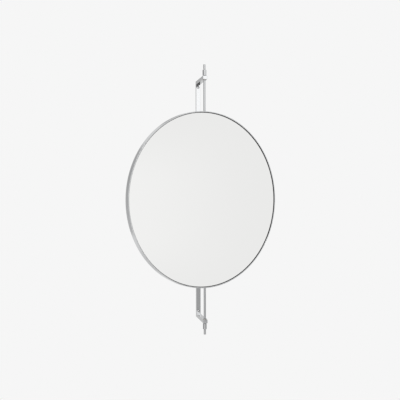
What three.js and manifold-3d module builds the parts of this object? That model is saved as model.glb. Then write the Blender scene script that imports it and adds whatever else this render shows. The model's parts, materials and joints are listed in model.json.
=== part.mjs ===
// Pivot wall mirror: a round mirror in a steel ring, turning about a vertical axis between the
// two arms of a C-shaped wall bracket. Millimetres, +Z up, the wall is the plane y = 0 and the
// room lies towards -Y. The origin is the middle of the bracket's back face, on the wall.

import * as THREE from "three";
import { mergeVertices } from "three/addons/utils/BufferGeometryUtils.js";
import Module from "manifold-3d";

const wasm = await Module();
wasm.setup();

// ---------------------------------------------------------------- driving dimensions

// Wall bracket: one square-cornered C, mitred and welded from steel bar.
const barWidth = 15;
const barDepth = 12;
const barEdgeRadius = 0.6;
const axisToWall = 142;
const armOverhang = 11;
const armEndRadius = 1.2;
const mitreGap = 0.3;

// Holes for the wall screws, countersunk from the front, close to each arm.
const wallScrewFromArm = 10;
const wallScrewHoleRadius = 2.5;
const countersinkRadius = 4.7;

// Ring frame: flat bar rolled on edge.
const ringRadius = 300;
const ringWall = 3;
const ringDepth = 18;
const ringEdgeRadius = 0.6;

// Mirror glass, its gasket, the tape and the hardboard panel behind it.
const glassRecess = 3.5;
const glassThickness = 4;
const glassEdgeArris = 0.6;
const gasketWall = 0.9;
const gasketLip = 0.5;
const gasketLipThickness = 0.7;
const tapeThickness = 1;
const tapeWidth = 25;
const tapeEdgeInset = 105.5;
const tapeStrips = 5;
const tapeMargin = 22;
const panelThickness = 3.2;

// Steel tabs welded inside the ring, with one screw each into the panel.
const tabCount = 6;
const tabWidth = 20;
const tabReach = 20;
const tabThickness = 1.5;
const tabScrewInset = 12;
const tabNoseRadius = 7;
const screwShankRadius = 1.5;
const screwHeadRadius = 3;
const screwHeadHeight = 1.6;
const screwHeadRim = 0.8;
const screwCrownRadius = 2.25;
const screwTipDepth = 2.8;

// Stems from the ring to the arms, and the pivot pins that screw into them.
const ringToArm = 108;
const stemRadius = 4;
const stemWeldLeg = 1.6;
const stemWeldHollow = 0.5;
const pinShankRadius = 2.5;
const pinThreadDepth = 20;
const pinNeckRadius = 2.9;
const pinNeckLength = 1.4;
const pinHeadRadius = 4;
const pinHeadLength = 17;
const pinHeadChamfer = 0.7;
const pinSocketAcross = 4;
const pinSocketDepth = 3;

// Pieces stacked on each pivot pin.
const bushWall = 1.5;
const bushFlangeRadius = 6.4;
const bushFlangeThickness = 1;
const thrustWasherRadius = 6.4;
const thrustWasherThickness = 1.5;
const discSpringRadius = 6.2;
const discSpringThickness = 0.6;
const discSpringRise = 0.5;
const nutRadius = 6.8;
const nutHeight = 19.5;
const nutChamfer = 0.8;
const grubRadius = 1.5;
const grubSocketAcross = 1.5;
const grubSocketDepth = 1.6;

// Clearances.
const seatGap = 0.3;
const pressGap = 0.1;
const runningGap = 0.1;
const stackGap = 0.2;

// How far the mirror is turned from parallel to the wall, in degrees.
const restTurn = 24;

// Facets round each kind of circle.
const ringFacets = 96;
const roundFacets = 24;
const smallFacets = 16;
const filletSteps = 2;

// How far a cutting shape stands out of the face it cuts, and how close two points of a
// mesh are when they count as one.
const cutOverrun = 1;
const sharedPointDistance = 1e-4;

// ---------------------------------------------------------------- sizes worked out from these

const armInner = ringRadius + ringToArm;
const armOuter = armInner + barDepth;
const ringInner = ringRadius - ringWall;
const ringFront = -ringDepth / 2;
const glassFront = ringFront + glassRecess;
const glassBack = glassFront + glassThickness;
const gasketOuter = ringInner - seatGap;
const gasketInner = gasketOuter - gasketWall;
const glassRadius = gasketInner - seatGap;
const tapeFront = glassBack + seatGap;
const tapeSpacing = ((glassRadius - tapeEdgeInset) * 2) / (tapeStrips - 1);
const panelFront = tapeFront + tapeThickness + seatGap;
const panelBack = panelFront + panelThickness;
const panelRadius = ringInner - seatGap;
const tabFront = panelBack + seatGap;
const tabBack = tabFront + tabThickness;
const screwCircle = ringInner - tabScrewInset;
const bushBore = pinShankRadius + runningGap;
const bushOuter = bushBore + bushWall;
const armHole = bushOuter + pressGap;
const bushFlangeInner = armInner - pressGap - bushFlangeThickness;
const thrustWasherInner = bushFlangeInner - stackGap - thrustWasherThickness;
const stemTop = thrustWasherInner - seatGap;
const stemFoot = ringRadius + seatGap;
const springBottom = armOuter + stackGap;
const nutBottom = springBottom + discSpringThickness + discSpringRise + seatGap;
const nutTop = nutBottom + nutHeight;
const grubHeight = nutBottom + nutHeight / 2;

// ---------------------------------------------------------------- materials

const brightSteel = new THREE.MeshStandardMaterial({ color: "#c9cacb", roughness: 0.18, metalness: 1 });
const glassMirror = new THREE.MeshStandardMaterial({ color: "#eaecec", roughness: 0.02, metalness: 1 });
const blackRubber = new THREE.MeshStandardMaterial({ color: "#1b1b1c", roughness: 0.8, metalness: 0 });
const hardboard = new THREE.MeshStandardMaterial({ color: "#6f4d33", roughness: 0.75, metalness: 0 });
const whiteFoam = new THREE.MeshStandardMaterial({ color: "#dfe0dc", roughness: 0.9, metalness: 0 });
const whiteNylon = new THREE.MeshStandardMaterial({ color: "#e6e3da", roughness: 0.5, metalness: 0 });
const springSteel = new THREE.MeshStandardMaterial({ color: "#8d8f92", roughness: 0.35, metalness: 1 });
const zincSteel = new THREE.MeshStandardMaterial({ color: "#b9bcbf", roughness: 0.4, metalness: 1 });

// ---------------------------------------------------------------- making solids

// A geometry reduced to its positions, with the vertices on its seams shared.
function closed(geometry) {
  geometry.deleteAttribute("normal");
  geometry.deleteAttribute("uv");
  return mergeVertices(geometry, sharedPointDistance);
}

function toManifold(geometry) {
  const shell = closed(geometry);
  const vertProperties = new Float32Array(shell.attributes.position.array);
  const triVerts = new Uint32Array(shell.index.array);
  return new wasm.Manifold(new wasm.Mesh({ numProp: 3, vertProperties, triVerts }));
}

function fromManifold(manifold) {
  const mesh = manifold.getMesh();
  const geometry = new THREE.BufferGeometry();
  geometry.setAttribute("position", new THREE.BufferAttribute(mesh.vertProperties, 3));
  geometry.setIndex(new THREE.BufferAttribute(mesh.triVerts, 1));
  return geometry;
}

function cut(body, ...tools) {
  const start = toManifold(body);
  return fromManifold(tools.reduce((solid, tool) => solid.subtract(toManifold(tool)), start));
}

function common(body, ...others) {
  const start = toManifold(body);
  return fromManifold(others.reduce((solid, other) => solid.intersect(toManifold(other)), start));
}

// A piece of revolution about the Y axis; profile points are [radius, y], going round it
// anticlockwise as seen with the radius to the right and y up.
function revolved(profile, facets) {
  const points = profile.map(([radius, y]) => new THREE.Vector2(radius, y));
  return new THREE.LatheGeometry(points, facets);
}

// The same about the Z axis.
function turned(profile, facets) {
  return revolved(profile, facets).rotateX(Math.PI / 2);
}

function prism(shape, length, facets = smallFacets) {
  return new THREE.ExtrudeGeometry(shape, { depth: length, bevelEnabled: false, curveSegments: facets });
}

// A rectangle with rounded corners, centred on the origin.
function roundedRectangle(width, height, radius) {
  const shape = new THREE.Shape();
  const x = width / 2 - radius;
  const y = height / 2 - radius;
  shape.absarc(x, y, radius, 0, Math.PI / 2);
  shape.absarc(-x, y, radius, Math.PI / 2, Math.PI);
  shape.absarc(-x, -y, radius, Math.PI, Math.PI * 1.5);
  shape.absarc(x, -y, radius, Math.PI * 1.5, Math.PI * 2);
  return shape;
}

function polygon(points) {
  return new THREE.Shape(points.map(([x, y]) => new THREE.Vector2(x, y)));
}

// The points of a quarter round about a centre, from one angle to another, in degrees.
function quarterRound(cx, cy, radius, from, to) {
  return Array.from({ length: filletSteps + 1 }, (_, step) => {
    const angle = THREE.MathUtils.degToRad(from + ((to - from) * step) / filletSteps);
    return [cx + radius * Math.cos(angle), cy + radius * Math.sin(angle)];
  });
}

function named(name, geometry, material) {
  const mesh = new THREE.Mesh(geometry, material);
  mesh.name = name;
  return mesh;
}

// ---------------------------------------------------------------- wall bracket

// A side outline in the YZ plane, given as [y, z] points, pushed across the bar's full width.
function sideBlock(points) {
  const block = prism(polygon(points), barWidth * 2);
  return block.applyMatrix4(new THREE.Matrix4().makeBasis(
    new THREE.Vector3(0, 1, 0), new THREE.Vector3(0, 0, 1), new THREE.Vector3(1, 0, 0),
  )).translate(-barWidth, 0, 0);
}

function barSection() {
  return roundedRectangle(barWidth, barDepth, barEdgeRadius);
}

// Screw hole with a countersink in the front face, along Y.
function countersunkHole(z) {
  const front = -barDepth;
  const coneDepth = countersinkRadius - wallScrewHoleRadius;
  return revolved([
    [0, front - cutOverrun],
    [countersinkRadius, front - cutOverrun],
    [countersinkRadius, front],
    [wallScrewHoleRadius, front + coneDepth],
    [wallScrewHoleRadius, cutOverrun],
    [0, cutOverrun],
  ], roundFacets).translate(0, 0, z);
}

function wallRail() {
  const halfGap = mitreGap / Math.SQRT2;
  const outer = armOuter - halfGap;
  const inner = armInner - halfGap;
  const bar = prism(barSection(), armOuter * 2, filletSteps)
    .translate(0, -barDepth / 2, -armOuter);
  const mitred = common(bar, sideBlock([[-barDepth, -inner], [0, -outer], [0, outer], [-barDepth, inner]]));
  const holeHeight = armInner - wallScrewFromArm;
  return cut(mitred, countersunkHole(holeHeight), countersunkHole(-holeHeight));
}

// The upper arm; the lower one is its mirror image. Its free end has rounded upright edges,
// its other end is mitred to the rail, and the bush sits in a plain hole on the pivot axis.
function arm() {
  const halfGap = mitreGap / Math.SQRT2;
  const reach = axisToWall + armOverhang;
  const middle = armInner + barDepth / 2;
  const bar = prism(barSection(), reach, filletSteps).rotateX(Math.PI / 2).translate(0, 0, middle);
  const plan = roundedRectangle(barWidth, reach * 2, armEndRadius);
  const hole = new THREE.Path().absarc(0, -axisToWall, armHole, 0, Math.PI * 2, true);
  plan.holes.push(hole);
  const planBlock = prism(plan, barDepth * 2, roundFacets / 2).translate(0, 0, middle - barDepth);
  const side = sideBlock([
    [-reach, armInner],
    [-barDepth, armInner + halfGap],
    [0, armOuter + halfGap],
    [0, armOuter + barDepth],
    [-reach, armOuter + barDepth],
  ]);
  return common(bar, planBlock, side);
}

// ---------------------------------------------------------------- ring, glass and back panel

function ringFrame() {
  const inside = ringInner + ringEdgeRadius;
  const outside = ringRadius - ringEdgeRadius;
  const front = ringFront + ringEdgeRadius;
  const back = -ringFront - ringEdgeRadius;
  const profile = [
    ...quarterRound(inside, front, ringEdgeRadius, 180, 270),
    ...quarterRound(outside, front, ringEdgeRadius, 270, 360),
    ...quarterRound(outside, back, ringEdgeRadius, 0, 90),
    ...quarterRound(inside, back, ringEdgeRadius, 90, 180),
  ];
  return revolved([...profile, profile[0]], ringFacets);
}

function mirrorGlass() {
  return revolved([
    [0, glassFront],
    [glassRadius - glassEdgeArris, glassFront],
    [glassRadius, glassFront + glassEdgeArris],
    [glassRadius, glassBack - glassEdgeArris],
    [glassRadius - glassEdgeArris, glassBack],
    [0, glassBack],
  ], ringFacets);
}

// An L-section rubber ring: a wall round the glass edge and a lip over its front.
function glassGasket() {
  const lipBack = glassFront - seatGap;
  const lipFront = lipBack - gasketLipThickness;
  const profile = [
    [gasketOuter - gasketWall - gasketLip, lipFront],
    [gasketOuter, lipFront],
    [gasketOuter, glassBack],
    [gasketInner, glassBack],
    [gasketInner, lipBack],
    [gasketOuter - gasketWall - gasketLip, lipBack],
  ];
  return revolved([...profile, profile[0]], ringFacets);
}

// One upright strip of double-sided foam tape between the glass and the panel; the strips
// stand side by side, each as long as the glass has room for.
function tapeStrip(index) {
  const x = (index - (tapeStrips - 1) / 2) * tapeSpacing;
  const edge = Math.abs(x) + tapeWidth / 2;
  const half = Math.sqrt((glassRadius - tapeMargin) ** 2 - edge ** 2);
  return new THREE.BoxGeometry(tapeWidth, tapeThickness, half * 2)
    .translate(x, tapeFront + tapeThickness / 2, 0);
}

function tabAngle(index) {
  return (index * 2 * Math.PI) / tabCount;
}

// Hardboard disc with a pilot hole for each tab's screw.
function backPanel() {
  const disc = revolved([
    [0, panelFront],
    [panelRadius, panelFront],
    [panelRadius, panelBack],
    [0, panelBack],
  ], ringFacets);
  const holes = Array.from({ length: tabCount }, (_, index) => {
    const radius = screwShankRadius + pressGap;
    return new THREE.CylinderGeometry(radius, radius, panelThickness * 3, smallFacets)
      .translate(screwCircle, (panelFront + panelBack) / 2, 0)
      .rotateY(-tabAngle(index));
  });
  return cut(disc, ...holes);
}

// One tab: its outer edge follows the ring's inside and its nose is rounded. It is drawn
// reaching inwards from the ring along -X, and turned to its place.
function panelTab(angle) {
  const outer = ringInner - seatGap;
  const half = Math.asin(tabWidth / 2 / outer);
  const noseX = outer - tabReach + tabNoseRadius;
  const shape = new THREE.Shape();
  shape.absarc(0, 0, outer, -half, half);
  shape.absarc(noseX, tabWidth / 2 - tabNoseRadius, tabNoseRadius, Math.PI / 2, Math.PI);
  shape.absarc(noseX, -tabWidth / 2 + tabNoseRadius, tabNoseRadius, Math.PI, Math.PI * 1.5);
  const hole = new THREE.Path();
  hole.absarc(screwCircle, 0, screwShankRadius + pressGap, 0, Math.PI * 2, true);
  shape.holes.push(hole);
  return prism(shape, tabThickness, smallFacets / 2)
    .rotateX(Math.PI / 2)
    .translate(0, tabBack, 0)
    .rotateY(-angle);
}

function panelScrew(angle) {
  const seat = tabBack + pressGap;
  const top = seat + screwHeadHeight;
  const tip = panelBack - screwTipDepth;
  return revolved([
    [0, tip],
    [screwShankRadius, tip],
    [screwShankRadius, seat],
    [screwHeadRadius, seat],
    [screwHeadRadius, seat + screwHeadRim],
    [screwCrownRadius, top],
    [0, top],
  ], smallFacets).translate(screwCircle, 0, 0).rotateY(-angle);
}

// ---------------------------------------------------------------- pivots

// Stem: a round rod standing on the ring in a weld fillet, tapped at its free end.
function stem() {
  const borehole = pinShankRadius + pressGap;
  return turned([
    [0, stemFoot],
    [stemRadius + stemWeldLeg, stemFoot],
    [stemRadius + stemWeldHollow, stemFoot + stemWeldHollow],
    [stemRadius, stemFoot + stemWeldLeg],
    [stemRadius, stemTop - pinHeadChamfer],
    [stemRadius - pinHeadChamfer, stemTop],
    [borehole, stemTop],
    [borehole, stemTop - pinThreadDepth - seatGap],
    [0, stemTop - pinThreadDepth - seatGap],
  ], roundFacets);
}

// Pivot pin: a threaded shank through washer, bush, spring and nut into the stem, with a
// neck and a plain round head standing out of the nut, and a hexagon socket in the head.
function pivotPin() {
  const headBottom = nutTop + pinNeckLength;
  const top = headBottom + pinHeadLength;
  const socketRadius = pinSocketAcross / Math.sqrt(3);
  const socket = new THREE.CylinderGeometry(socketRadius, socketRadius, pinSocketDepth * 2, 6)
    .rotateX(Math.PI / 2)
    .translate(0, 0, top);
  const pin = turned([
    [0, stemTop - pinThreadDepth],
    [pinShankRadius, stemTop - pinThreadDepth],
    [pinShankRadius, nutTop],
    [pinNeckRadius, nutTop + seatGap],
    [pinNeckRadius, headBottom],
    [pinHeadRadius - pinHeadChamfer, headBottom],
    [pinHeadRadius, headBottom + pinHeadChamfer],
    [pinHeadRadius, top - pinHeadChamfer],
    [pinHeadRadius - pinHeadChamfer, top],
    [0, top],
  ], roundFacets);
  return cut(pin, socket);
}

function thrustWasher() {
  const bore = pinShankRadius + pressGap;
  const top = thrustWasherInner + thrustWasherThickness;
  const profile = [
    [bore, thrustWasherInner],
    [thrustWasherRadius, thrustWasherInner],
    [thrustWasherRadius, top],
    [bore, top],
  ];
  return turned([...profile, profile[0]], roundFacets);
}

// Flanged nylon bush, its flange between the arm and the thrust washer.
function armBush() {
  const profile = [
    [bushBore, bushFlangeInner],
    [bushFlangeRadius, bushFlangeInner],
    [bushFlangeRadius, bushFlangeInner + bushFlangeThickness],
    [bushOuter, bushFlangeInner + bushFlangeThickness],
    [bushOuter, armOuter],
    [bushBore, armOuter],
  ];
  return turned([...profile, profile[0]], roundFacets);
}

// Conical disc spring that keeps the pivot stiff, so the mirror stays as it is turned.
function discSpring() {
  const bore = pinShankRadius + pressGap;
  const profile = [
    [bore, springBottom + discSpringRise],
    [discSpringRadius, springBottom],
    [discSpringRadius, springBottom + discSpringThickness],
    [bore, springBottom + discSpringRise + discSpringThickness],
  ];
  return turned([...profile, profile[0]], roundFacets);
}

function grubHole() {
  return new THREE.CylinderGeometry(grubRadius + pressGap, grubRadius + pressGap, nutRadius * 2, smallFacets)
    .translate(0, nutRadius, grubHeight);
}

// Round nut with chamfered ends and a tapped cross hole on its back.
function roundNut() {
  const bore = pinShankRadius + pressGap;
  const profile = [
    [bore, nutBottom],
    [nutRadius - nutChamfer, nutBottom],
    [nutRadius, nutBottom + nutChamfer],
    [nutRadius, nutTop - nutChamfer],
    [nutRadius - nutChamfer, nutTop],
    [bore, nutTop],
  ];
  return cut(turned([...profile, profile[0]], roundFacets), grubHole());
}

// Grub screw in the nut's cross hole, with a hexagon socket, locking the nut on the pin.
function grubScrew() {
  const inner = pinShankRadius + pressGap;
  const outer = nutRadius - seatGap;
  const length = outer - inner;
  const body = new THREE.CylinderGeometry(grubRadius, grubRadius, length, smallFacets)
    .translate(0, inner + length / 2, grubHeight);
  const socketRadius = grubSocketAcross / Math.sqrt(3);
  const socket = new THREE.CylinderGeometry(socketRadius, socketRadius, grubSocketDepth * 2, 6)
    .translate(0, outer, grubHeight);
  return cut(body, socket);
}

// ---------------------------------------------------------------- assembly

// The lower pieces are the upper ones turned half a turn about the Y axis.
const bracket = new THREE.Group();
const mirror = new THREE.Group();
mirror.position.set(0, -axisToWall, 0);
mirror.rotation.z = THREE.MathUtils.degToRad(restTurn);

bracket.add(named("wall_rail", wallRail(), brightSteel));

for (const [side, turn] of [["upper", 0], ["lower", Math.PI]]) {
  const fixed = new THREE.Group();
  fixed.rotation.y = turn;
  fixed.add(named(`${side}_arm`, arm(), brightSteel));
  const bush = named(`${side}_bush`, armBush(), whiteNylon);
  bush.position.y = -axisToWall;
  fixed.add(bush);
  bracket.add(fixed);

  const turning = new THREE.Group();
  turning.rotation.y = turn;
  turning.add(named(`${side}_stem`, stem(), brightSteel));
  turning.add(named(`${side}_pivot_pin`, pivotPin(), brightSteel));
  turning.add(named(`${side}_thrust_washer`, thrustWasher(), brightSteel));
  turning.add(named(`${side}_disc_spring`, discSpring(), springSteel));
  turning.add(named(`${side}_round_nut`, roundNut(), brightSteel));
  turning.add(named(`${side}_grub_screw`, grubScrew(), zincSteel));
  mirror.add(turning);
}

mirror.add(named("ring_frame", ringFrame(), brightSteel));
mirror.add(named("mirror_glass", mirrorGlass(), glassMirror));
mirror.add(named("glass_gasket", glassGasket(), blackRubber));
mirror.add(named("back_panel", backPanel(), hardboard));

for (let index = 0; index < tapeStrips; index += 1) {
  mirror.add(named(`tape_strip_${index + 1}`, tapeStrip(index), whiteFoam));
}

for (let index = 0; index < tabCount; index += 1) {
  const angle = tabAngle(index);
  mirror.add(named(`panel_tab_${index + 1}`, panelTab(angle), brightSteel));
  mirror.add(named(`panel_screw_${index + 1}`, panelScrew(angle), zincSteel));
}

const pivotMirror = new THREE.Group();
pivotMirror.add(bracket, mirror);

export default pivotMirror;
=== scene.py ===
"""Pivot wall mirror: the look of a round mirror in a polished steel ring between two wall arms."""

import json
from math import atan2, cos, degrees, pi, radians, sin, sqrt, tau

import bmesh
import bpy
from mathutils import Matrix, Vector


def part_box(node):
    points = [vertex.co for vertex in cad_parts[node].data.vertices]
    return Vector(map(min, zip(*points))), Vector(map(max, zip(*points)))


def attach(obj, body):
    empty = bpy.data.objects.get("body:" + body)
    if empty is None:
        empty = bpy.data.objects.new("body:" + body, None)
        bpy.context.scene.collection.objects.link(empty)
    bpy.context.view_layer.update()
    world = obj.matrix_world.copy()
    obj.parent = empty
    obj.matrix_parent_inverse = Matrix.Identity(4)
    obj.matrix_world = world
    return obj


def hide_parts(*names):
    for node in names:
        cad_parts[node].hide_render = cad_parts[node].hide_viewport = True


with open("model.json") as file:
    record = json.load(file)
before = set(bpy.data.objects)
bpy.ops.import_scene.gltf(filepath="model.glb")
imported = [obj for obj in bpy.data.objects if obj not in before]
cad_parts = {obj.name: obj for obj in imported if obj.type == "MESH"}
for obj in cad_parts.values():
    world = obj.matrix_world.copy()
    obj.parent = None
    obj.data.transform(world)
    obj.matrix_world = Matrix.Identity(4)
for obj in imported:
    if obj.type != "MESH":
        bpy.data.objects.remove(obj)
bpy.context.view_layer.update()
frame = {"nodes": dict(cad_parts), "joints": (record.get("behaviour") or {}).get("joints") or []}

MM = 0.001

# ---------------------------------------------------------------- places and sizes, from the frame

PIVOT = Vector(frame["joints"][0]["pos_m"])
# The mirror's turn at rest, from parallel to the wall.
REST_TURN = radians(24)

# The lower arm and pivot are the upper ones turned over, so only the upper boxes are read.
RAIL_LOW, RAIL_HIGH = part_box("wall_rail")
ARM_LOW, ARM_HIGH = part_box("upper_arm")
BUSH_LOW, BUSH_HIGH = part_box("upper_bush")
WASHER_LOW, WASHER_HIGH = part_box("upper_thrust_washer")
STEM_LOW, STEM_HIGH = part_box("upper_stem")
SPRING_LOW, SPRING_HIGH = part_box("upper_disc_spring")
NUT_LOW, NUT_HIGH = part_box("upper_round_nut")
PIN_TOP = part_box("upper_pivot_pin")[1].z
RING_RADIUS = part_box("ring_frame")[1].z

ARM_FRONT = ARM_LOW.y
ARM_INNER = ARM_LOW.z
ARM_OUTER = ARM_HIGH.z
NUT_RADIUS = (NUT_HIGH.x - NUT_LOW.x) / 2

# ---------------------------------------------------------------- sizes that the boxes don't show

BAR_EDGE = 0.6 * MM
ARM_END_ROUND = 1.2 * MM
MITRE_SEAM = 0.04 * MM
SCREW_FROM_ARM = 10 * MM
SCREW_HOLE_RADIUS = 2.5 * MM
COUNTERSINK_RADIUS = 4.7 * MM
ARM_HOLE_RADIUS = 4.2 * MM

RING_WALL = 3 * MM
RING_DEPTH = 18 * MM
RING_EDGE = 0.6 * MM
GLASS_RECESS = 3.5 * MM
GLASS_THICKNESS = 4 * MM
GLASS_ARRIS = 0.6 * MM
SEAT_GAP = 0.3 * MM
PRESS_GAP = 0.1 * MM
BROKEN_EDGE = 0.15 * MM
GASKET_WALL = 0.9 * MM
GASKET_LIP = 0.5 * MM
GASKET_LIP_THICKNESS = 0.7 * MM
GASKET_EDGE = 0.2 * MM
TAPE_THICKNESS = 1 * MM
PANEL_THICKNESS = 3.2 * MM
PANEL_EDGE = 0.3 * MM
TAB_COUNT = 6
TAB_SCREW_INSET = 12 * MM
TAB_THICKNESS = 1.5 * MM
TAB_EDGE = 0.3 * MM
SCREW_HEAD_RADIUS = 3 * MM
SCREW_HEAD_HEIGHT = 1.6 * MM
SCREW_HEAD_RIM = 0.8 * MM
SCREW_CROWN_RADIUS = 2.25 * MM
SCREW_CROWN_SAG = 0.2 * MM
SCREW_SHANK_RADIUS = 1.5 * MM
SCREW_TIP_DEPTH = 2.8 * MM
SCREW_TIP_CHAMFER = 0.3 * MM
SCREW_RECESS_REACH = 1.85 * MM
SCREW_RECESS_WIDTH = 0.64 * MM
SCREW_RECESS_DEPTH = 1.1 * MM
# No two screws stop at the same turn. These are the first one's, and how much the next adds.
SCREW_FIRST_TURN = 17
SCREW_NEXT_TURN = 29

STEM_RADIUS = 4 * MM
STEM_WELD = 1.6 * MM
STEM_WELD_HOLLOW = 0.5 * MM
PIN_SHANK_RADIUS = 2.5 * MM
PIN_TIP_CHAMFER = 0.4 * MM
PIN_BORE_RADIUS = 2.6 * MM
PIN_NECK_RADIUS = 2.9 * MM
PIN_NECK_LENGTH = 1.4 * MM
PIN_HEAD_RADIUS = 4 * MM
PIN_HEAD_CHAMFER = 0.7 * MM
PIN_SOCKET_ACROSS = 4 * MM
PIN_SOCKET_DEPTH = 3 * MM
THREAD_DEPTH = 20 * MM
BUSH_WALL = 1.5 * MM
BUSH_FLANGE = 1 * MM
BUSH_EDGE = 0.12 * MM
SPRING_THICKNESS = 0.6 * MM
SPRING_EDGE = 0.12 * MM
NUT_CHAMFER = 0.8 * MM
GRUB_RADIUS = 1.5 * MM
GRUB_SOCKET_ACROSS = 1.5 * MM
GRUB_SOCKET_DEPTH = 1.6 * MM

# ---------------------------------------------------------------- the layers inside the ring

GASKET_OUTER = RING_RADIUS - RING_WALL - SEAT_GAP
GASKET_INNER = GASKET_OUTER - GASKET_WALL
GLASS_RADIUS = GASKET_INNER - SEAT_GAP
PANEL_RADIUS = RING_RADIUS - RING_WALL - SEAT_GAP
GLASS_FRONT = -RING_DEPTH / 2 + GLASS_RECESS
GLASS_BACK = GLASS_FRONT + GLASS_THICKNESS
PANEL_FRONT = GLASS_BACK + SEAT_GAP + TAPE_THICKNESS + SEAT_GAP
PANEL_BACK = PANEL_FRONT + PANEL_THICKNESS
TAB_BACK = PANEL_BACK + SEAT_GAP + TAB_THICKNESS

# ---------------------------------------------------------------- how finely the shapes are made

ROUND_STEPS = 64
SMALL_ROUND_STEPS = 32
RING_STEPS = 256
HEXAGON_SIDES = 6
FINE_EDGE_STEPS = 2
EDGE_STEPS = 4
ARM_END_STEPS = 5
# Nearer to the axis than this, a round piece's UV map is as wide as it is here.
LEAST_UV_RADIUS = 1 * MM
CUT_OVERRUN = 1 * MM
SAME_POINT = 1e-7
NEARLY_SAME_POINT = 1e-6
NEARLY_FLAT = radians(1)
SMOOTH_BELOW = radians(32)
EDGE_ABOVE = radians(40)
TAB_EDGE_ABOVE = radians(50)
ARM_EDGE_ABOVE = radians(60)
# How much of a direction has to lie along an axis, out of 1.
ALONG_AXIS = 0.999
FACING_AXIS = 0.99
# The WEIGHTED_NORMAL modifier's highest weight: a bar's wide flats decide how it shades.
FLATS_WEIGHT = 100
Y_AXIS = 1
Z_AXIS = 2

# ---------------------------------------------------------------- materials


def linear(hex_colour):
    """A hex sRGB colour as linear red, green, blue and alpha."""
    channels = [int(hex_colour[i:i + 2], 16) / 255 for i in (1, 3, 5)]
    return [c / 12.92 if c <= 0.04045 else ((c + 0.055) / 1.055) ** 2.4 for c in channels] + [1.0]


def add(tree, kind, links=None, values=None, **settings):
    """A node of one kind, with its properties set, its inputs given values and its inputs linked."""
    node = tree.nodes.new(kind)
    for name, value in settings.items():
        setattr(node, name, value)
    for name, value in (values or {}).items():
        node.inputs[name].default_value = value
    for name, source in (links or {}).items():
        tree.links.new(source, node.inputs[name])
    return node


def new_material(name):
    """An empty node material and its tree."""
    material = bpy.data.materials.new(name)
    material.use_nodes = True
    material.node_tree.nodes.clear()
    return material, material.node_tree


def finish_material(tree, surface):
    """Joins a surface to the material's output."""
    add(tree, "ShaderNodeOutputMaterial", {"Surface": surface})


def ramp(tree, factor, stops):
    """A colour ramp through (position, hex colour) stops."""
    node = add(tree, "ShaderNodeValToRGB", {"Fac": factor})
    elements = node.color_ramp.elements
    while len(elements) < len(stops):
        elements.new(0.5)
    for element, (position, colour) in zip(elements, stops):
        element.position = position
        element.color = linear(colour)
    return node.outputs["Color"]


def polished_stainless(name, colour, roughness, grain_along):
    """Stainless steel polished along its length: bright, with grinding lines about 0.4 mm apart
    that the buffing has all but taken out, and soft patches where the wheel pressed harder. The
    lines break up along the piece as many times a metre as grain_along says."""
    material, tree = new_material(name)
    place = add(tree, "ShaderNodeTexCoord").outputs["UV"]
    grain_place = add(tree, "ShaderNodeMapping", {"Vector": place},
                      {"Scale": (grain_along, 2500.0, 1.0)}).outputs["Vector"]
    grain = add(tree, "ShaderNodeTexNoise", {"Vector": grain_place},
                {"Scale": 1.0, "Detail": 3.0, "Roughness": 0.6}).outputs["Fac"]
    patches = add(tree, "ShaderNodeTexNoise", {"Vector": place},
                  {"Scale": 9.0, "Detail": 2.0, "Roughness": 0.5}).outputs["Fac"]
    rough = add(tree, "ShaderNodeMapRange", {"Value": patches},
                {"From Min": 0.3, "From Max": 0.7, "To Min": roughness * 0.75,
                 "To Max": roughness * 1.3}).outputs["Result"]
    bump = add(tree, "ShaderNodeBump", {"Height": grain},
               {"Strength": 0.04, "Distance": 0.004 * MM}).outputs["Normal"]
    shader = add(tree, "ShaderNodeBsdfPrincipled", {"Roughness": rough, "Normal": bump},
                 {"Base Color": linear(colour), "Metallic": 1.0})
    finish_material(tree, shader.outputs["BSDF"])
    return material


def silvered_float_glass():
    """Low-iron float glass silvered on its back: a near perfect reflection, a little darker than
    what it reflects, with the faint long waves of floated glass and a trace of haze. The coat
    is the front face of the glass."""
    material, tree = new_material("silvered_float_glass")
    place = add(tree, "ShaderNodeTexCoord").outputs["Object"]
    waves = add(tree, "ShaderNodeTexNoise", {"Vector": place},
                {"Scale": 5.0, "Detail": 1.0, "Roughness": 0.4}).outputs["Fac"]
    bump = add(tree, "ShaderNodeBump", {"Height": waves},
               {"Strength": 0.02, "Distance": 0.1 * MM}).outputs["Normal"]
    haze = add(tree, "ShaderNodeTexNoise", {"Vector": place},
               {"Scale": 30.0, "Detail": 4.0, "Roughness": 0.6}).outputs["Fac"]
    rough = add(tree, "ShaderNodeMapRange", {"Value": haze},
                {"From Min": 0.35, "From Max": 0.75, "To Min": 0.0, "To Max": 0.02}).outputs["Result"]
    shader = add(tree, "ShaderNodeBsdfPrincipled", {"Roughness": rough, "Normal": bump},
                 {"Base Color": linear("#f2f2f1"), "Metallic": 1.0, "Coat Weight": 1.0,
                  "Coat Roughness": 0.0, "Coat IOR": 1.52})
    finish_material(tree, shader.outputs["BSDF"])
    return material


def extruded_rubber():
    """Black EPDM rubber, extruded: matt, with a skin that is uneven about every millimetre."""
    material, tree = new_material("extruded_epdm_rubber")
    place = add(tree, "ShaderNodeTexCoord").outputs["Object"]
    skin = add(tree, "ShaderNodeTexNoise", {"Vector": place},
               {"Scale": 900.0, "Detail": 3.0, "Roughness": 0.6}).outputs["Fac"]
    colour = ramp(tree, skin, [(0.3, "#131314"), (0.75, "#232324")])
    bump = add(tree, "ShaderNodeBump", {"Height": skin},
               {"Strength": 0.25, "Distance": 0.05 * MM}).outputs["Normal"]
    shader = add(tree, "ShaderNodeBsdfPrincipled", {"Base Color": colour, "Normal": bump},
                 {"Roughness": 0.72, "IOR": 1.5})
    finish_material(tree, shader.outputs["BSDF"])
    return material


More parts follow.
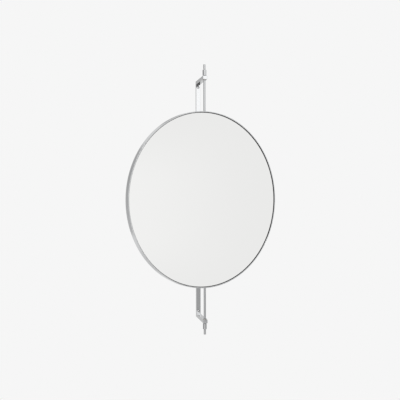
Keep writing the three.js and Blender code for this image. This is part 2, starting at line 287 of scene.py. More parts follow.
def pressed_hardboard():
    """Hardboard: brown pressed wood fibre. The back keeps the weave of the wire screen that it
    was pressed on, drawn about 3 mm apart, which is coarser than the real one. Fibre flecks and
    wide cloudy patches run through it."""
    material, tree = new_material("pressed_hardboard")
    place = add(tree, "ShaderNodeTexCoord").outputs["UV"]
    fibre = add(tree, "ShaderNodeTexNoise", {"Vector": place},
                {"Scale": 420.0, "Detail": 6.0, "Roughness": 0.7}).outputs["Fac"]
    cloud = add(tree, "ShaderNodeTexNoise", {"Vector": place},
                {"Scale": 7.0, "Detail": 3.0, "Roughness": 0.55}).outputs["Fac"]
    fibre_colour = ramp(tree, fibre, [(0.28, "#4a3121"), (0.5, "#6d4a31"), (0.72, "#8a6244")])
    cloud_colour = ramp(tree, cloud, [(0.3, "#b9ab9f"), (0.7, "#ffffff")])
    colour = add(tree, "ShaderNodeMix", data_type="RGBA", blend_type="MULTIPLY")
    colour.inputs["Factor"].default_value = 0.7
    tree.links.new(fibre_colour, colour.inputs["A"])
    tree.links.new(cloud_colour, colour.inputs["B"])
    weave = add(tree, "ShaderNodeTexWave", {"Vector": place},
                {"Scale": 100.0, "Distortion": 0.4, "Detail": 1.0}, bands_direction="X")
    cross_weave = add(tree, "ShaderNodeTexWave", {"Vector": place},
                      {"Scale": 100.0, "Distortion": 0.4, "Detail": 1.0}, bands_direction="Y")
    screen = add(tree, "ShaderNodeMath", {0: weave.outputs["Fac"], 1: cross_weave.outputs["Fac"]},
                 operation="MULTIPLY").outputs["Value"]
    height = add(tree, "ShaderNodeMath", {0: screen, 1: fibre}, operation="ADD").outputs["Value"]
    bump = add(tree, "ShaderNodeBump", {"Height": height},
               {"Strength": 0.6, "Distance": 0.25 * MM}).outputs["Normal"]
    shader = add(tree, "ShaderNodeBsdfPrincipled",
                 {"Base Color": colour.outputs["Result"], "Normal": bump},
                 {"Roughness": 0.78, "IOR": 1.5})
    finish_material(tree, shader.outputs["BSDF"])
    return material


def closed_cell_foam():
    """White polyethylene foam tape: matt, with closed cells about 0.7 mm across."""
    material, tree = new_material("closed_cell_foam")
    place = add(tree, "ShaderNodeTexCoord").outputs["Object"]
    cells = add(tree, "ShaderNodeTexVoronoi", {"Vector": place}, {"Scale": 1500.0}).outputs["Distance"]
    colour = ramp(tree, cells, [(0.0, "#c9cac6"), (0.6, "#e6e7e3")])
    bump = add(tree, "ShaderNodeBump", {"Height": cells},
               {"Strength": 0.3, "Distance": 0.1 * MM}).outputs["Normal"]
    shader = add(tree, "ShaderNodeBsdfPrincipled", {"Base Color": colour, "Normal": bump},
                 {"Roughness": 0.9, "IOR": 1.5})
    finish_material(tree, shader.outputs["BSDF"])
    return material


def moulded_nylon():
    """Natural nylon, injection moulded: off-white, waxy and a little translucent."""
    material, tree = new_material("moulded_nylon")
    place = add(tree, "ShaderNodeTexCoord").outputs["Object"]
    tone = add(tree, "ShaderNodeTexNoise", {"Vector": place},
               {"Scale": 260.0, "Detail": 3.0, "Roughness": 0.5}).outputs["Fac"]
    colour = ramp(tree, tone, [(0.35, "#ddd8cb"), (0.7, "#ebe8de")])
    shader = add(tree, "ShaderNodeBsdfPrincipled", {"Base Color": colour},
                 {"Roughness": 0.45, "IOR": 1.53, "Subsurface Weight": 0.15,
                  "Subsurface Radius": (1.2 * MM, 1.1 * MM, 0.9 * MM), "Subsurface Scale": 1.0})
    finish_material(tree, shader.outputs["BSDF"])
    return material


def turned_metal(name, low, high, roughness, line_scale):
    """Metal as the tool left it, bare, oiled or zinc plated: fine lines, as many to the metre as
    line_scale says, and a tone that varies with them."""
    material, tree = new_material(name)
    place = add(tree, "ShaderNodeTexCoord").outputs["UV"]
    line_place = add(tree, "ShaderNodeMapping", {"Vector": place},
                     {"Scale": (30.0, line_scale, 1.0)}).outputs["Vector"]
    lines = add(tree, "ShaderNodeTexNoise", {"Vector": line_place},
                {"Scale": 1.0, "Detail": 2.0, "Roughness": 0.5}).outputs["Fac"]
    colour = ramp(tree, lines, [(0.3, low), (0.7, high)])
    bump = add(tree, "ShaderNodeBump", {"Height": lines},
               {"Strength": 0.2, "Distance": 0.03 * MM}).outputs["Normal"]
    shader = add(tree, "ShaderNodeBsdfPrincipled", {"Base Color": colour, "Normal": bump},
                 {"Metallic": 1.0, "Roughness": roughness})
    finish_material(tree, shader.outputs["BSDF"])
    return material


BAR_STEEL = polished_stainless("polished_stainless_bar", "#cfd0d1", 0.09, 12.0)
RING_STEEL = polished_stainless("polished_stainless_ring", "#cfd0d1", 0.09, 8.0)
ROD_STEEL = polished_stainless("polished_stainless_rod", "#cacbcc", 0.1, 40.0)
MIRROR = silvered_float_glass()
RUBBER = extruded_rubber()
HARDBOARD = pressed_hardboard()
FOAM = closed_cell_foam()
NYLON = moulded_nylon()
BORED_STEEL = turned_metal("bored_stainless", "#c4c5c6", "#d4d5d6", 0.42, 3000.0)
SPRING_STEEL = turned_metal("oiled_spring_steel", "#77797c", "#93959a", 0.34, 4000.0)
ZINC = turned_metal("bright_zinc_plate", "#a9acb0", "#c6c9cb", 0.32, 3000.0)

# ---------------------------------------------------------------- making pieces

# Round pieces are made about Z, and these put them in their places.
UPRIGHT = Matrix.Identity(4)
UPSIDE_DOWN = Matrix.Rotation(pi, 4, "Y")
ALONG_Y = Matrix.Rotation(-pi / 2, 4, "X")
TURNED = Matrix.Translation(PIVOT) @ Matrix.Rotation(REST_TURN, 4, "Z")


def outline(bm, points):
    """A chain of edges through (radius, height) points in the XZ plane."""
    vertices = [bm.verts.new((radius, 0.0, height)) for radius, height in points]
    edges = [bm.edges.new(pair) for pair in zip(vertices, vertices[1:])]
    return vertices, edges


def spun(points, steps=ROUND_STEPS, ring=False):
    """A solid of revolution about Z. Points run from the axis back to the axis, or round a ring
    section, which is then closed on itself."""
    bm = bmesh.new()
    vertices, edges = outline(bm, points)
    if ring:
        edges.append(bm.edges.new((vertices[-1], vertices[0])))
    bmesh.ops.spin(bm, geom=vertices + edges, cent=(0, 0, 0), axis=(0, 0, 1), angle=tau,
                   steps=steps, use_merge=True, use_duplicate=False)
    bmesh.ops.remove_doubles(bm, verts=bm.verts, dist=SAME_POINT)
    bmesh.ops.dissolve_degenerate(bm, edges=bm.edges, dist=SAME_POINT)
    bmesh.ops.recalc_face_normals(bm, faces=bm.faces)
    return bm


def bevelled(bm, edges, radius, segments):
    """Rounds some edges off, or chamfers them with one segment."""
    bmesh.ops.bevel(bm, geom=edges, offset=radius, offset_type="OFFSET", segments=segments,
                    profile=0.5, affect="EDGES", clamp_overlap=True, material=-1)
    return bm


def rounded(bm, radius, segments=FINE_EDGE_STEPS, sharper_than=EDGE_ABOVE):
    """Bevels every edge whose faces meet at more than an angle."""
    edges = [e for e in bm.edges if e.is_manifold and e.calc_face_angle(0.0) > sharper_than]
    return bevelled(bm, edges, radius, segments)


def block(low, high):
    """A box between two corners."""
    bm = bmesh.new()
    low, high = Vector(low), Vector(high)
    size = high - low
    bmesh.ops.create_cube(bm, size=1.0)
    bmesh.ops.scale(bm, vec=size, verts=bm.verts)
    bmesh.ops.translate(bm, vec=(low + high) / 2, verts=bm.verts)
    return bm


def cylinder(radius, low, high, steps=ROUND_STEPS):
    """A cylinder about Z between two heights."""
    bm = bmesh.new()
    bmesh.ops.create_cone(bm, cap_ends=True, segments=steps, radius1=radius, radius2=radius,
                          depth=high - low)
    bmesh.ops.translate(bm, vec=(0, 0, (low + high) / 2), verts=bm.verts)
    return bm


def carved(bm, *tools):
    """The solid with each tool cut out of it, less the faces of no size that a cut can leave."""
    def as_object(shape):
        mesh = bpy.data.meshes.new("carving")
        shape.to_mesh(mesh)
        shape.free()
        made = bpy.data.objects.new("carving", mesh)
        bpy.context.scene.collection.objects.link(made)
        return made

    work = as_object(bm)
    cutters = [as_object(tool) for tool in tools]
    for cutter in cutters:
        boolean = work.modifiers.new("cut", "BOOLEAN")
        boolean.operation = "DIFFERENCE"
        boolean.solver = "EXACT"
        boolean.object = cutter
    bpy.context.view_layer.update()
    result = bmesh.new()
    result.from_object(work, bpy.context.evaluated_depsgraph_get())
    bmesh.ops.dissolve_degenerate(result, edges=result.edges, dist=NEARLY_SAME_POINT)
    for used in [work, *cutters]:
        mesh = used.data
        bpy.data.objects.remove(used)
        bpy.data.meshes.remove(mesh)
    return result


def round_uv(bm):
    """A UV map in metres: u runs round the Z axis, v along it and outwards from it."""
    layer = bm.loops.layers.uv.new("surface")
    for face in bm.faces:
        middle = face.calc_center_median()
        mid_angle = atan2(middle.y, middle.x)
        for loop in face.loops:
            x, y, z = loop.vert.co
            turn = atan2(y, x) - mid_angle if x or y else 0.0
            turn = (turn + pi) % tau - pi
            radius = sqrt(x * x + y * y)
            loop[layer].uv = ((mid_angle + turn) * max(radius, LEAST_UV_RADIUS), z + radius)
    return bm


def flat_uv(bm, along):
    """A UV map in metres on a bar: u runs along the bar's own axis, v across each of its sides."""
    layer = bm.loops.layers.uv.new("surface")
    for face in bm.faces:
        side = max((axis for axis in range(3) if axis != along),
                   key=lambda axis: abs(face.normal[axis]))
        cross = next(axis for axis in range(3) if axis not in (along, side))
        for loop in face.loops:
            loop[layer].uv = (loop.vert.co[along], loop.vert.co[cross])
    return bm


def piece(name, bm, place, material, body, slot, *nodes):
    """Puts a finished shape in its place as an object that rides on a body and stands for nodes."""
    bmesh.ops.transform(bm, matrix=place, verts=bm.verts)
    mesh = bpy.data.meshes.new(name)
    bm.to_mesh(mesh)
    bm.free()
    mesh.shade_smooth()
    mesh.set_sharp_from_angle(angle=SMOOTH_BELOW)
    mesh.materials.append(material)
    made = bpy.data.objects.new(name, mesh)
    bpy.context.scene.collection.objects.link(made)
    flats = made.modifiers.new("flats_stay_flat", "WEIGHTED_NORMAL")
    flats.mode = "FACE_AREA"
    flats.weight = FLATS_WEIGHT
    flats.keep_sharp = True
    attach(made, body)
    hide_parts(*nodes)
    return made


# ---------------------------------------------------------------- wall bracket


def mitred(bm, corner, normal):
    """Cuts a bar off at a plane and closes it, keeping the side that the normal points away from."""
    geometry = [*bm.verts, *bm.edges, *bm.faces]
    cut = bmesh.ops.bisect_plane(bm, geom=geometry, plane_co=corner, plane_no=normal,
                                 clear_outer=True)["geom_cut"]
    bmesh.ops.contextual_create(bm, geom=[e for e in cut if isinstance(e, bmesh.types.BMEdge)])
    return bm


def long_edges(bm, along):
    """The edges that run along one axis."""
    return [e for e in bm.edges
            if abs((e.verts[1].co - e.verts[0].co).normalized()[along]) > ALONG_AXIS]


def wall_screw_hole(z):
    """The shape of a countersunk screw hole, bored into the rail's front face."""
    front = RAIL_LOW.y
    cone_depth = COUNTERSINK_RADIUS - SCREW_HOLE_RADIUS
    hole = spun([
        (0, front - CUT_OVERRUN),
        (COUNTERSINK_RADIUS, front - CUT_OVERRUN),
        (COUNTERSINK_RADIUS, front),
        (SCREW_HOLE_RADIUS, front + cone_depth),
        (SCREW_HOLE_RADIUS, CUT_OVERRUN),
        (0, CUT_OVERRUN),
    ])
    bmesh.ops.transform(hole, matrix=Matrix.Translation((0, 0, z)) @ ALONG_Y, verts=hole.verts)
    return hole


def wall_rail():
    """The upright bar on the wall, mitred at both ends and bored for two countersunk screws. The
    bored faces keep the drill's finish."""
    bm = block((RAIL_LOW.x, RAIL_LOW.y, -ARM_OUTER), (RAIL_HIGH.x, RAIL_HIGH.y, ARM_OUTER))
    bevelled(bm, long_edges(bm, Z_AXIS), BAR_EDGE, EDGE_STEPS)
    for side in (1, -1):
        mitred(bm, (0, RAIL_HIGH.y, side * (ARM_OUTER - MITRE_SEAM)), (0, -1, side))
    hole_height = ARM_INNER - SCREW_FROM_ARM
    bm = carved(bm, wall_screw_hole(hole_height), wall_screw_hole(-hole_height))
    for face in bm.faces:
        middle = face.calc_center_median()
        from_hole = Vector((middle.x, abs(middle.z) - hole_height)).length
        bored = from_hole < COUNTERSINK_RADIUS and abs(face.normal.y) < FACING_AXIS
        face.material_index = int(bored)
    rail = piece("rail", flat_uv(bm, Z_AXIS), UPRIGHT, BAR_STEEL, "wall_bracket", "bright_steel",
                 "wall_rail")
    rail.data.materials.append(BORED_STEEL)


def bracket_arm(side, place):
    """A bar from the rail past the pivot, mitred at the rail, with its front end's upright edges
    rounded."""
    bm = block((RAIL_LOW.x, ARM_FRONT, ARM_INNER), (RAIL_HIGH.x, RAIL_HIGH.y, ARM_OUTER))
    front_uprights = [e for e in long_edges(bm, Z_AXIS) if e.verts[0].co.y < PIVOT.y]
    bevelled(bm, front_uprights, ARM_END_ROUND, ARM_END_STEPS)
    rims = [e for e in bm.edges
            if abs(e.verts[0].co.z - e.verts[1].co.z) < NEARLY_SAME_POINT
            and e.calc_face_angle(0.0) > ARM_EDGE_ABOVE
            and not all(v.co.y > RAIL_HIGH.y - NEARLY_SAME_POINT for v in e.verts)]
    bevelled(bm, rims, BAR_EDGE, EDGE_STEPS)
    mitred(bm, (0, RAIL_HIGH.y, ARM_OUTER + MITRE_SEAM), (0, 1, -1))
    hole = cylinder(ARM_HOLE_RADIUS, ARM_INNER - CUT_OVERRUN, ARM_OUTER + CUT_OVERRUN)
    bmesh.ops.translate(hole, vec=PIVOT, verts=hole.verts)
    bm = carved(bm, hole)
    piece(f"{side}_bracket_arm", flat_uv(bm, Y_AXIS), place, BAR_STEEL, "wall_bracket",
          "bright_steel", f"{side}_arm")


def arm_bush(side, place):
    """The flanged nylon bush in the arm's hole, in which the pin turns."""
    inner = PIN_BORE_RADIUS
    outer = inner + BUSH_WALL
    flange = (BUSH_HIGH.x - BUSH_LOW.x) / 2
    bm = spun([
        (inner, BUSH_LOW.z),
        (flange, BUSH_LOW.z),
        (flange, BUSH_LOW.z + BUSH_FLANGE),
        (outer, BUSH_LOW.z + BUSH_FLANGE),
        (outer, BUSH_HIGH.z),
        (inner, BUSH_HIGH.z),
    ], ring=True)
    rounded(bm, BUSH_EDGE)
    piece(f"{side}_flanged_bush", round_uv(bm), place @ Matrix.Translation(PIVOT), NYLON,
          "wall_bracket", "nylon", f"{side}_bush")


# ---------------------------------------------------------------- ring, glass and back panel


def ring_frame():
    """The flat bar, rolled on edge, that holds the glass."""
    inner = RING_RADIUS - RING_WALL
    half = RING_DEPTH / 2
    bm = spun([(inner, -half), (RING_RADIUS, -half), (RING_RADIUS, half), (inner, half)],
              RING_STEPS, ring=True)
    rounded(bm, RING_EDGE, EDGE_STEPS)
    piece("ring", round_uv(bm), TURNED @ ALONG_Y, RING_STEEL, "mirror", "bright_steel", "ring_frame")


def mirror_glass():
    """The round pane, with a narrow ground chamfer round both its faces."""
    bm = spun([(0, GLASS_FRONT), (GLASS_RADIUS, GLASS_FRONT), (GLASS_RADIUS, GLASS_BACK),
               (0, GLASS_BACK)], RING_STEPS)
    rounded(bm, GLASS_ARRIS, segments=1)
    piece("mirror_pane", round_uv(bm), TURNED @ ALONG_Y, MIRROR, "mirror", "silvered_glass",
          "mirror_glass")


def glass_gasket():
    """The rubber strip round the pane, with a lip over the pane's front."""
    lip_back = GLASS_FRONT - SEAT_GAP
    lip_front = lip_back - GASKET_LIP_THICKNESS
    lip_edge = GASKET_INNER - GASKET_LIP
    bm = spun([
        (lip_edge, lip_front),
        (GASKET_OUTER, lip_front),
        (GASKET_OUTER, GLASS_BACK),
        (GASKET_INNER, GLASS_BACK),
        (GASKET_INNER, lip_back),
        (lip_edge, lip_back),
    ], RING_STEPS, ring=True)
    rounded(bm, GASKET_EDGE)
    piece("gasket", bm, TURNED @ ALONG_Y, RUBBER, "mirror", "black_rubber", "glass_gasket")


def back_panel():
    """The hardboard disc that the pane is taped to. Its pattern runs straight across it."""
    bm = spun([(0, PANEL_FRONT), (PANEL_RADIUS, PANEL_FRONT), (PANEL_RADIUS, PANEL_BACK),
               (0, PANEL_BACK)], RING_STEPS)
    rounded(bm, PANEL_EDGE)
    layer = bm.loops.layers.uv.new("surface")
    for face in bm.faces:
        for loop in face.loops:
            loop[layer].uv = (loop.vert.co.x, loop.vert.co.y)
    piece("hardboard_back", bm, TURNED @ ALONG_Y, HARDBOARD, "mirror", "hardboard", "back_panel")


def panel_tab(index):
    """A steel tab with the outline of its CAD node, its flats joined up and its edges eased."""
    node = f"panel_tab_{index + 1}"
    bm = bmesh.new()
    bm.from_mesh(frame["nodes"][node].data)
    bmesh.ops.remove_doubles(bm, verts=bm.verts, dist=NEARLY_SAME_POINT)
    bmesh.ops.dissolve_limit(bm, angle_limit=NEARLY_FLAT, use_dissolve_boundaries=False,
                             verts=bm.verts, edges=bm.edges, delimit={"NORMAL"})
    rounded(bm, TAB_EDGE, sharper_than=TAB_EDGE_ABOVE)
    for layer in list(bm.loops.layers.uv):
        bm.loops.layers.uv.remove(layer)
    piece(f"steel_tab_{index + 1}", flat_uv(bm, Z_AXIS), UPRIGHT, BAR_STEEL, "mirror",
          "bright_steel", node)


def panel_screw(index):
    """A pan-head screw with a cross recess."""
    seat = TAB_BACK + PRESS_GAP
    top = seat + SCREW_HEAD_HEIGHT
    tip = PANEL_BACK - SCREW_TIP_DEPTH
    bm = spun([
        (0, tip),
        (SCREW_SHANK_RADIUS - SCREW_TIP_CHAMFER, tip),
        (SCREW_SHANK_RADIUS, tip + SCREW_TIP_CHAMFER),
        (SCREW_SHANK_RADIUS, seat),
        (SCREW_HEAD_RADIUS, seat),
        (SCREW_HEAD_RADIUS, seat + SCREW_HEAD_RIM),
        (SCREW_CROWN_RADIUS, top - SCREW_CROWN_SAG),
        (SCREW_CROWN_RADIUS / 2, top - SCREW_CROWN_SAG / 4),
        (0, top),
    ], SMALL_ROUND_STEPS)
    slot_half = SCREW_RECESS_WIDTH / 2
    floor, above = top - SCREW_RECESS_DEPTH, top + CUT_OVERRUN
    first = block((-SCREW_RECESS_REACH, -slot_half, floor), (SCREW_RECESS_REACH, slot_half, above))
    second = block((-slot_half, -SCREW_RECESS_REACH, floor), (slot_half, SCREW_RECESS_REACH, above))
    bm = carved(bm, first, second)
    turn = index * tau / TAB_COUNT
    circle = RING_RADIUS - RING_WALL - TAB_SCREW_INSET
    out = Matrix.Rotation(-turn, 4, "Y") @ Matrix.Translation((circle, 0, 0))
    twist = Matrix.Rotation(radians(SCREW_FIRST_TURN + SCREW_NEXT_TURN * index), 4, "Z")
    piece(f"pan_head_screw_{index + 1}", round_uv(bm), TURNED @ out @ ALONG_Y @ twist, ZINC,
          "mirror", "zinc_steel", f"panel_screw_{index + 1}")


# ---------------------------------------------------------------- pivots


def stem(side, place):
    """The rod that stands on the ring, with a hollow weld round its foot and a bore for the pin."""
    foot, top = STEM_LOW.z, STEM_HIGH.z
    weld_near = STEM_WELD_HOLLOW / 3
    weld_middle = STEM_WELD * (1 - sqrt(0.5))
    weld_far = STEM_WELD_HOLLOW * 2
    bore_floor = top - THREAD_DEPTH - SEAT_GAP
    bm = spun([
        (0, foot),
        (STEM_RADIUS + STEM_WELD, foot),
        (STEM_RADIUS + weld_far, foot + weld_near),
        (STEM_RADIUS + weld_middle, foot + weld_middle),
        (STEM_RADIUS + weld_near, foot + weld_far),
        (STEM_RADIUS, foot + STEM_WELD),
        (STEM_RADIUS, top - PIN_HEAD_CHAMFER),
        (STEM_RADIUS - PIN_HEAD_CHAMFER, top),
        (PIN_BORE_RADIUS, top),
        (PIN_BORE_RADIUS, bore_floor),
        (0, bore_floor),
    ])
    piece(f"{side}_rod_stem", round_uv(bm), TURNED @ place, ROD_STEEL, "mirror", "bright_steel",
          f"{side}_stem")


def hexagon(across, low, high):
    """A hexagonal prism about Z."""
    return cylinder(across / sqrt(3), low, high, HEXAGON_SIDES)


def pivot_pin(side, place):
    """The pin in the stem's bore: a shank through bush and nut, a neck, and a head with a socket."""
    tip = STEM_HIGH.z - THREAD_DEPTH
    neck = NUT_HIGH.z + SEAT_GAP
    head = NUT_HIGH.z + PIN_NECK_LENGTH
    top = PIN_TOP
    bm = spun([
        (0, tip),
        (PIN_SHANK_RADIUS - PIN_TIP_CHAMFER, tip),
        (PIN_SHANK_RADIUS, tip + PIN_TIP_CHAMFER),
        (PIN_SHANK_RADIUS, NUT_HIGH.z),
        (PIN_NECK_RADIUS, neck),
        (PIN_NECK_RADIUS, head),
        (PIN_HEAD_RADIUS - PIN_HEAD_CHAMFER, head),
        (PIN_HEAD_RADIUS, head + PIN_HEAD_CHAMFER),
        (PIN_HEAD_RADIUS, top - PIN_HEAD_CHAMFER),
        (PIN_HEAD_RADIUS - PIN_HEAD_CHAMFER, top),
        (0, top),
    ])
    bm = carved(bm, hexagon(PIN_SOCKET_ACROSS, top - PIN_SOCKET_DEPTH, top + CUT_OVERRUN))
    piece(f"{side}_necked_pin", round_uv(bm), TURNED @ place, ROD_STEEL, "mirror", "bright_steel",
          f"{side}_pivot_pin")


def thrust_washer(side, place):
    """The flat washer between the stem and the bush."""
    outer = (WASHER_HIGH.x - WASHER_LOW.x) / 2
    bm = spun([(PIN_BORE_RADIUS, WASHER_LOW.z), (outer, WASHER_LOW.z), (outer, WASHER_HIGH.z),
               (PIN_BORE_RADIUS, WASHER_HIGH.z)], ring=True)
    rounded(bm, BROKEN_EDGE)
    piece(f"{side}_steel_washer", round_uv(bm), TURNED @ place, ROD_STEEL, "mirror",
          "bright_steel", f"{side}_thrust_washer")


def disc_spring(side, place):
    """The coned spring under the nut, which gives the turn its friction."""
    outer = (SPRING_HIGH.x - SPRING_LOW.x) / 2
    bm = spun([
        (PIN_BORE_RADIUS, SPRING_HIGH.z - SPRING_THICKNESS),
        (outer, SPRING_LOW.z),
        (outer, SPRING_LOW.z + SPRING_THICKNESS),
        (PIN_BORE_RADIUS, SPRING_HIGH.z),
    ], ring=True)
    rounded(bm, SPRING_EDGE)
    piece(f"{side}_cone_spring", round_uv(bm), TURNED @ place, SPRING_STEEL, "mirror",
          "spring_steel", f"{side}_disc_spring")


def cross_bar(radius, low, high, steps=SMALL_ROUND_STEPS):
    """A bar along +Y at the grub screw's height, between two distances from the axis. It is the
    shape of the nut's cross hole, of the grub screw and of its socket."""
    bm = cylinder(radius, low, high, steps)
    middle = (NUT_LOW.z + NUT_HIGH.z) / 2
    bmesh.ops.transform(bm, matrix=Matrix.Translation((0, 0, middle)) @ ALONG_Y, verts=bm.verts)
    return bm


def round_nut(side, place):
    """The plain round nut outside the arm, with a cross hole for its grub screw."""
    low, high = NUT_LOW.z, NUT_HIGH.z
    bm = spun([
        (PIN_BORE_RADIUS, low),
        (NUT_RADIUS - NUT_CHAMFER, low),
        (NUT_RADIUS, low + NUT_CHAMFER),
        (NUT_RADIUS, high - NUT_CHAMFER),
        (NUT_RADIUS - NUT_CHAMFER, high),
        (PIN_BORE_RADIUS, high),
    ], ring=True)
    rounded(bm, BROKEN_EDGE)
    bm = carved(bm, cross_bar(GRUB_RADIUS + PRESS_GAP, 0, NUT_RADIUS * 2))
    piece(f"{side}_plain_round_nut", round_uv(bm), TURNED @ place, ROD_STEEL, "mirror",
          "bright_steel", f"{side}_round_nut")


def grub_screw(side, place):
    """The headless screw, with a hexagon socket, that locks the nut."""
    inner = PIN_BORE_RADIUS
    outer = NUT_RADIUS - SEAT_GAP
    bm = rounded(cross_bar(GRUB_RADIUS, inner, outer), BROKEN_EDGE)
    socket = cross_bar(GRUB_SOCKET_ACROSS / sqrt(3), outer - GRUB_SOCKET_DEPTH,
                       outer + CUT_OVERRUN, HEXAGON_SIDES)
    piece(f"{side}_socket_grub_screw", round_uv(carved(bm, socket)), TURNED @ place, ZINC,
          "mirror", "zinc_steel", f"{side}_grub_screw")


# ---------------------------------------------------------------- the whole mirror

wall_rail()
for side, place in (("upper", UPRIGHT), ("lower", UPSIDE_DOWN)):
    bracket_arm(side, place)
    arm_bush(side, place)
    stem(side, place)
    pivot_pin(side, place)
    thrust_washer(side, place)
    disc_spring(side, place)
    round_nut(side, place)
    grub_screw(side, place)

ring_frame()
mirror_glass()
glass_gasket()
back_panel()
for index in range(TAB_COUNT):
    panel_tab(index)
    panel_screw(index)

# The tape strips stay as they are in the CAD, with the foam's own look.
for name, node in frame["nodes"].items():
    if name.startswith("tape_strip"):
        node.data.materials.clear()
        node.data.materials.append(FOAM)

# ---------------------------------------------------------------- studio

BACKGROUND = "#f6f6f6"
FLOOR_COLOUR = "#f3f3f3"
FLOOR_HEIGHT = -1.3
FLOOR_RADIUS = 3.5
FLOOR_STEPS = 96
FLOOR_FADE_FROM = 1.1
FLOOR_FADE_TO = 2.3
# The share of the background's light that matt surfaces get.
MATT_LIGHT = 0.55

# The flats and the soft box that stand round the mirror. Bearings are in degrees from straight
# in front towards the right. Each edge runs from one (distance, height) to another, in metres,
# with its tones evenly spaced along it, and the last two values are the strength and the share
# of the flat over which its borders fade.
STUDIO_FLATS = [
    ("light_side_flat", (-188, -104), ((2.6, -1.2), (2.6, 1.7)),
     ("#d6d6d6", "#cecece", "#c0c0c0", "#cacaca"), 1.0, 0.08),
    ("grey_side_flat", (-112, -54), ((2.4, -1.2), (2.4, 1.6)), ("#989898", "#a8a8a8"), 1.0, 0.08),
    ("back_flat", (155, 176), ((2.7, -0.7), (2.7, 0.7)), ("#e0e0e0", "#d4d4d4"), 1.0, 0.08),
    ("front_flag", (-16, 36), ((4.5, -1.28), (4.5, 0.1)),
     ("#b8b8b8", "#c0c0c0", "#404040", "#202020"), 1.0, 0.08),
    ("low_right_flag", (28, 98), ((3.2, -1.25), (3.2, -0.68)), ("#b8b8b8", "#b8b8b8"), 1.0, 0.08),
    ("table_flag", (-24, 98), ((0.7, -0.92), (2.1, -0.92)), ("#8c8c8c", "#8c8c8c"), 1.0, 0.3),
    ("high_flag", (-50, 62), ((2.0, 0.85), (2.0, 1.7)), ("#808080", "#808080"), 1.0, 0.08),
    ("high_right_flag", (72, 165), ((2.6, 1.0), (2.6, 2.6)), ("#303030", "#303030"), 1.0, 0.08),
    ("fill_flat", (20, 66), ((4.0, -1.0), (4.0, 0.8)), ("#fdfdfd", "#fdfdfd"), 1.0, 0.4),
    ("soft_box", (-4, 24), ((4.6, 0.05), (4.6, 1.45)), ("#ffffff", "#ffffff"), 1.5, 0.08),
]

# Each lamp's name, its place and width in metres, and its watts.
SOFT_LAMPS = [
    ("key_lamp", (-1.6, -2.6, 2.2), 1.6, 26),
    ("back_lamp", (1.4, 2.2, 1.8), 1.4, 14),
]


def smooth_step(tree, value, start, end):
    """0 before start and 1 after end, with a soft change between."""
    return add(tree, "ShaderNodeMapRange", {"Value": value}, {"From Min": start, "From Max": end},
               interpolation_type="SMOOTHSTEP").outputs["Result"]


def product(tree, first, *others):
    """The values multiplied together."""
    for other in others:
        first = add(tree, "ShaderNodeMath", {0: first, 1: other},
                    operation="MULTIPLY").outputs["Value"]
    return first


def background_is_seen(tree):
    """1 for the camera and for what the metal and the glass show, and 0 for matt surfaces."""
    path = add(tree, "ShaderNodeLightPath").outputs
    seen = path["Is Camera Ray"]
    for ray in ("Is Glossy Ray", "Is Transmission Ray"):
        seen = add(tree, "ShaderNodeMath", {0: seen, 1: path[ray]},
                   operation="MAXIMUM").outputs["Value"]
    return seen


def studio_floor():
    """A round pale floor that fades into the background towards its rim."""
    bm = bmesh.new()
    bmesh.ops.create_circle(bm, cap_ends=True, segments=FLOOR_STEPS, radius=FLOOR_RADIUS)
    bmesh.ops.translate(bm, vec=(0, 0, FLOOR_HEIGHT), verts=bm.verts)
    mesh = bpy.data.meshes.new("studio_floor")
    bm.to_mesh(mesh)
    bm.free()
    material, tree = new_material("matt_white_floor")
    place = add(tree, "ShaderNodeTexCoord").outputs["Object"]
    flat = add(tree, "ShaderNodeVectorMath", {0: place}, {1: (1.0, 1.0, 0.0)}, operation="MULTIPLY")
    distance = add(tree, "ShaderNodeVectorMath", {0: flat.outputs["Vector"]},
                   operation="LENGTH").outputs["Value"]
    fade = smooth_step(tree, distance, FLOOR_FADE_FROM, FLOOR_FADE_TO)
    factor = product(tree, fade, background_is_seen(tree))
    paint = add(tree, "ShaderNodeBsdfDiffuse", values={"Color": linear(FLOOR_COLOUR)}).outputs["BSDF"]
    glow = add(tree, "ShaderNodeEmission", values={"Color": linear(BACKGROUND)}).outputs["Emission"]
    mix = add(tree, "ShaderNodeMixShader", {0: factor, 1: paint, 2: glow}).outputs["Shader"]
    finish_material(tree, mix)
    mesh.materials.append(material)
    floor = bpy.data.objects.new("studio_floor", mesh)
    bpy.context.scene.collection.objects.link(floor)


def studio_world():
    """The plain near white background. The metal and the glass show it too, and matt surfaces
    get less light from it, because the lamps light them as well."""
    world = bpy.data.worlds.new("soft_studio")
    bpy.context.scene.world = world
    world.use_nodes = True
    tree = world.node_tree
    tree.nodes.clear()
    strength = add(tree, "ShaderNodeMapRange", {"Value": background_is_seen(tree)},
                   {"To Min": MATT_LIGHT, "To Max": 1.0}).outputs["Result"]
    plain = add(tree, "ShaderNodeBackground", {"Strength": strength},
                {"Color": linear(BACKGROUND)}).outputs["Background"]
    add(tree, "ShaderNodeOutputWorld", {"Surface": plain})


def flat_paint(name, colours, strength, fade):
    """The glow of a flat, from its first edge to its second, which fades out at its borders."""
    material, tree = new_material(name)
    place = add(tree, "ShaderNodeTexCoord").outputs["UV"]
    split = add(tree, "ShaderNodeSeparateXYZ", {"Vector": place}).outputs
    tone = ramp(tree, split["Y"],
                [(index / (len(colours) - 1), colour) for index, colour in enumerate(colours)])
    borders = [smooth_step(tree, split[axis], *ends) for axis in ("X", "Y")
               for ends in ((0.0, fade), (1.0, 1.0 - fade))]
    glow = add(tree, "ShaderNodeEmission", {"Color": tone}, {"Strength": strength}).outputs["Emission"]
    clear = add(tree, "ShaderNodeBsdfTransparent").outputs["BSDF"]
    mix = add(tree, "ShaderNodeMixShader", {0: product(tree, *borders), 1: clear, 2: glow})
    finish_material(tree, mix.outputs["Shader"])
    return material


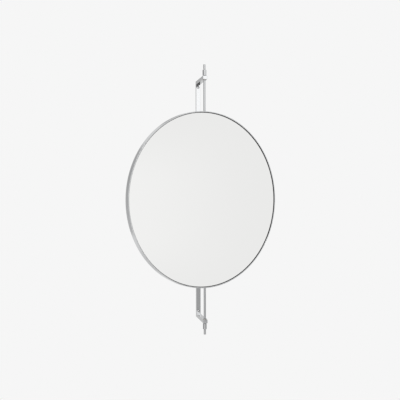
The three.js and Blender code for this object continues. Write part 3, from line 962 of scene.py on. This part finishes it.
def studio_flat(name, bearings, edge, colours, strength, fade):
    """A curved flat round the mirror's axis, which shows in the metal and the glass only."""
    first, last = bearings
    start, end = (Vector((distance, height)) for distance, height in edge)
    bm = bmesh.new()
    vertices = [bm.verts.new((0.0, -distance, height)) for distance, height in edge]
    profile = bm.edges.new(vertices)
    bmesh.ops.rotate(bm, cent=(0, 0, 0), matrix=Matrix.Rotation(radians(first), 3, "Z"),
                     verts=vertices)
    bmesh.ops.spin(bm, geom=[*vertices, profile], cent=(0, 0, 0), axis=(0, 0, 1),
                   angle=radians(last - first), steps=last - first, use_duplicate=False)
    layer = bm.loops.layers.uv.new("surface")
    for face in bm.faces:
        for loop in face.loops:
            x, y, z = loop.vert.co
            turned = (degrees(atan2(x, -y)) - first + 1) % 360 - 1
            along = (Vector((sqrt(x * x + y * y), z)) - start).dot(end - start)
            loop[layer].uv = (turned / (last - first), along / (end - start).length_squared)
    bmesh.ops.translate(bm, vec=PIVOT, verts=bm.verts)
    mesh = bpy.data.meshes.new(name)
    bm.to_mesh(mesh)
    bm.free()
    mesh.materials.append(flat_paint(name, colours, strength, fade))
    made = bpy.data.objects.new(name, mesh)
    bpy.context.scene.collection.objects.link(made)
    made.visible_camera = False
    made.visible_diffuse = False
    made.visible_shadow = False


def soft_lamp(name, place, size, watts):
    """A square area lamp turned towards the origin."""
    light = bpy.data.lights.new(name, "AREA")
    light.shape = "SQUARE"
    light.size = size
    light.energy = watts
    lamp = bpy.data.objects.new(name, light)
    bpy.context.scene.collection.objects.link(lamp)
    lamp.location = place
    lamp.rotation_mode = "QUATERNION"
    lamp.rotation_quaternion = (-Vector(place)).to_track_quat("-Z", "Y")


studio_floor()
studio_world()
for flat in STUDIO_FLATS:
    studio_flat(*flat)
for lamp in SOFT_LAMPS:
    soft_lamp(*lamp)

# ---------------------------------------------------------------- camera, as in the photograph

CAMERA_HEADING = radians(9.62)
CAMERA_PITCH = radians(0.71)
CAMERA_ROLL = radians(-0.09)
# How far the pivot's middle is to the camera's right, above it and ahead of it on the level.
PIVOT_FROM_CAMERA = (16.0 * MM, -32.7 * MM, 2722.1 * MM)
PHOTO_FOCAL_LENGTH = 800
PHOTO_WIDTH = 400
SENSOR_WIDTH = 36


def photo_camera():
    """The camera that sees the mirror as the photograph does."""
    data = bpy.data.cameras.new("photo_camera")
    data.sensor_width = SENSOR_WIDTH
    data.lens = PHOTO_FOCAL_LENGTH * SENSOR_WIDTH / PHOTO_WIDTH
    camera = bpy.data.objects.new("photo_camera", data)
    bpy.context.scene.collection.objects.link(camera)
    right = Vector((cos(CAMERA_HEADING), -sin(CAMERA_HEADING), 0))
    ahead = Vector((sin(CAMERA_HEADING), cos(CAMERA_HEADING), 0))
    across, up, away = PIVOT_FROM_CAMERA
    camera.location = PIVOT - across * right - Vector((0, 0, up)) - away * ahead
    turn = (Matrix.Rotation(-CAMERA_HEADING, 4, "Z")
            @ Matrix.Rotation(pi / 2 - CAMERA_PITCH, 4, "X")
            @ Matrix.Rotation(CAMERA_ROLL, 4, "Z"))
    camera.rotation_mode = "QUATERNION"
    camera.rotation_quaternion = turn.to_quaternion()
    bpy.context.scene.camera = camera


photo_camera()
bpy.context.scene.view_settings.view_transform = "Standard"
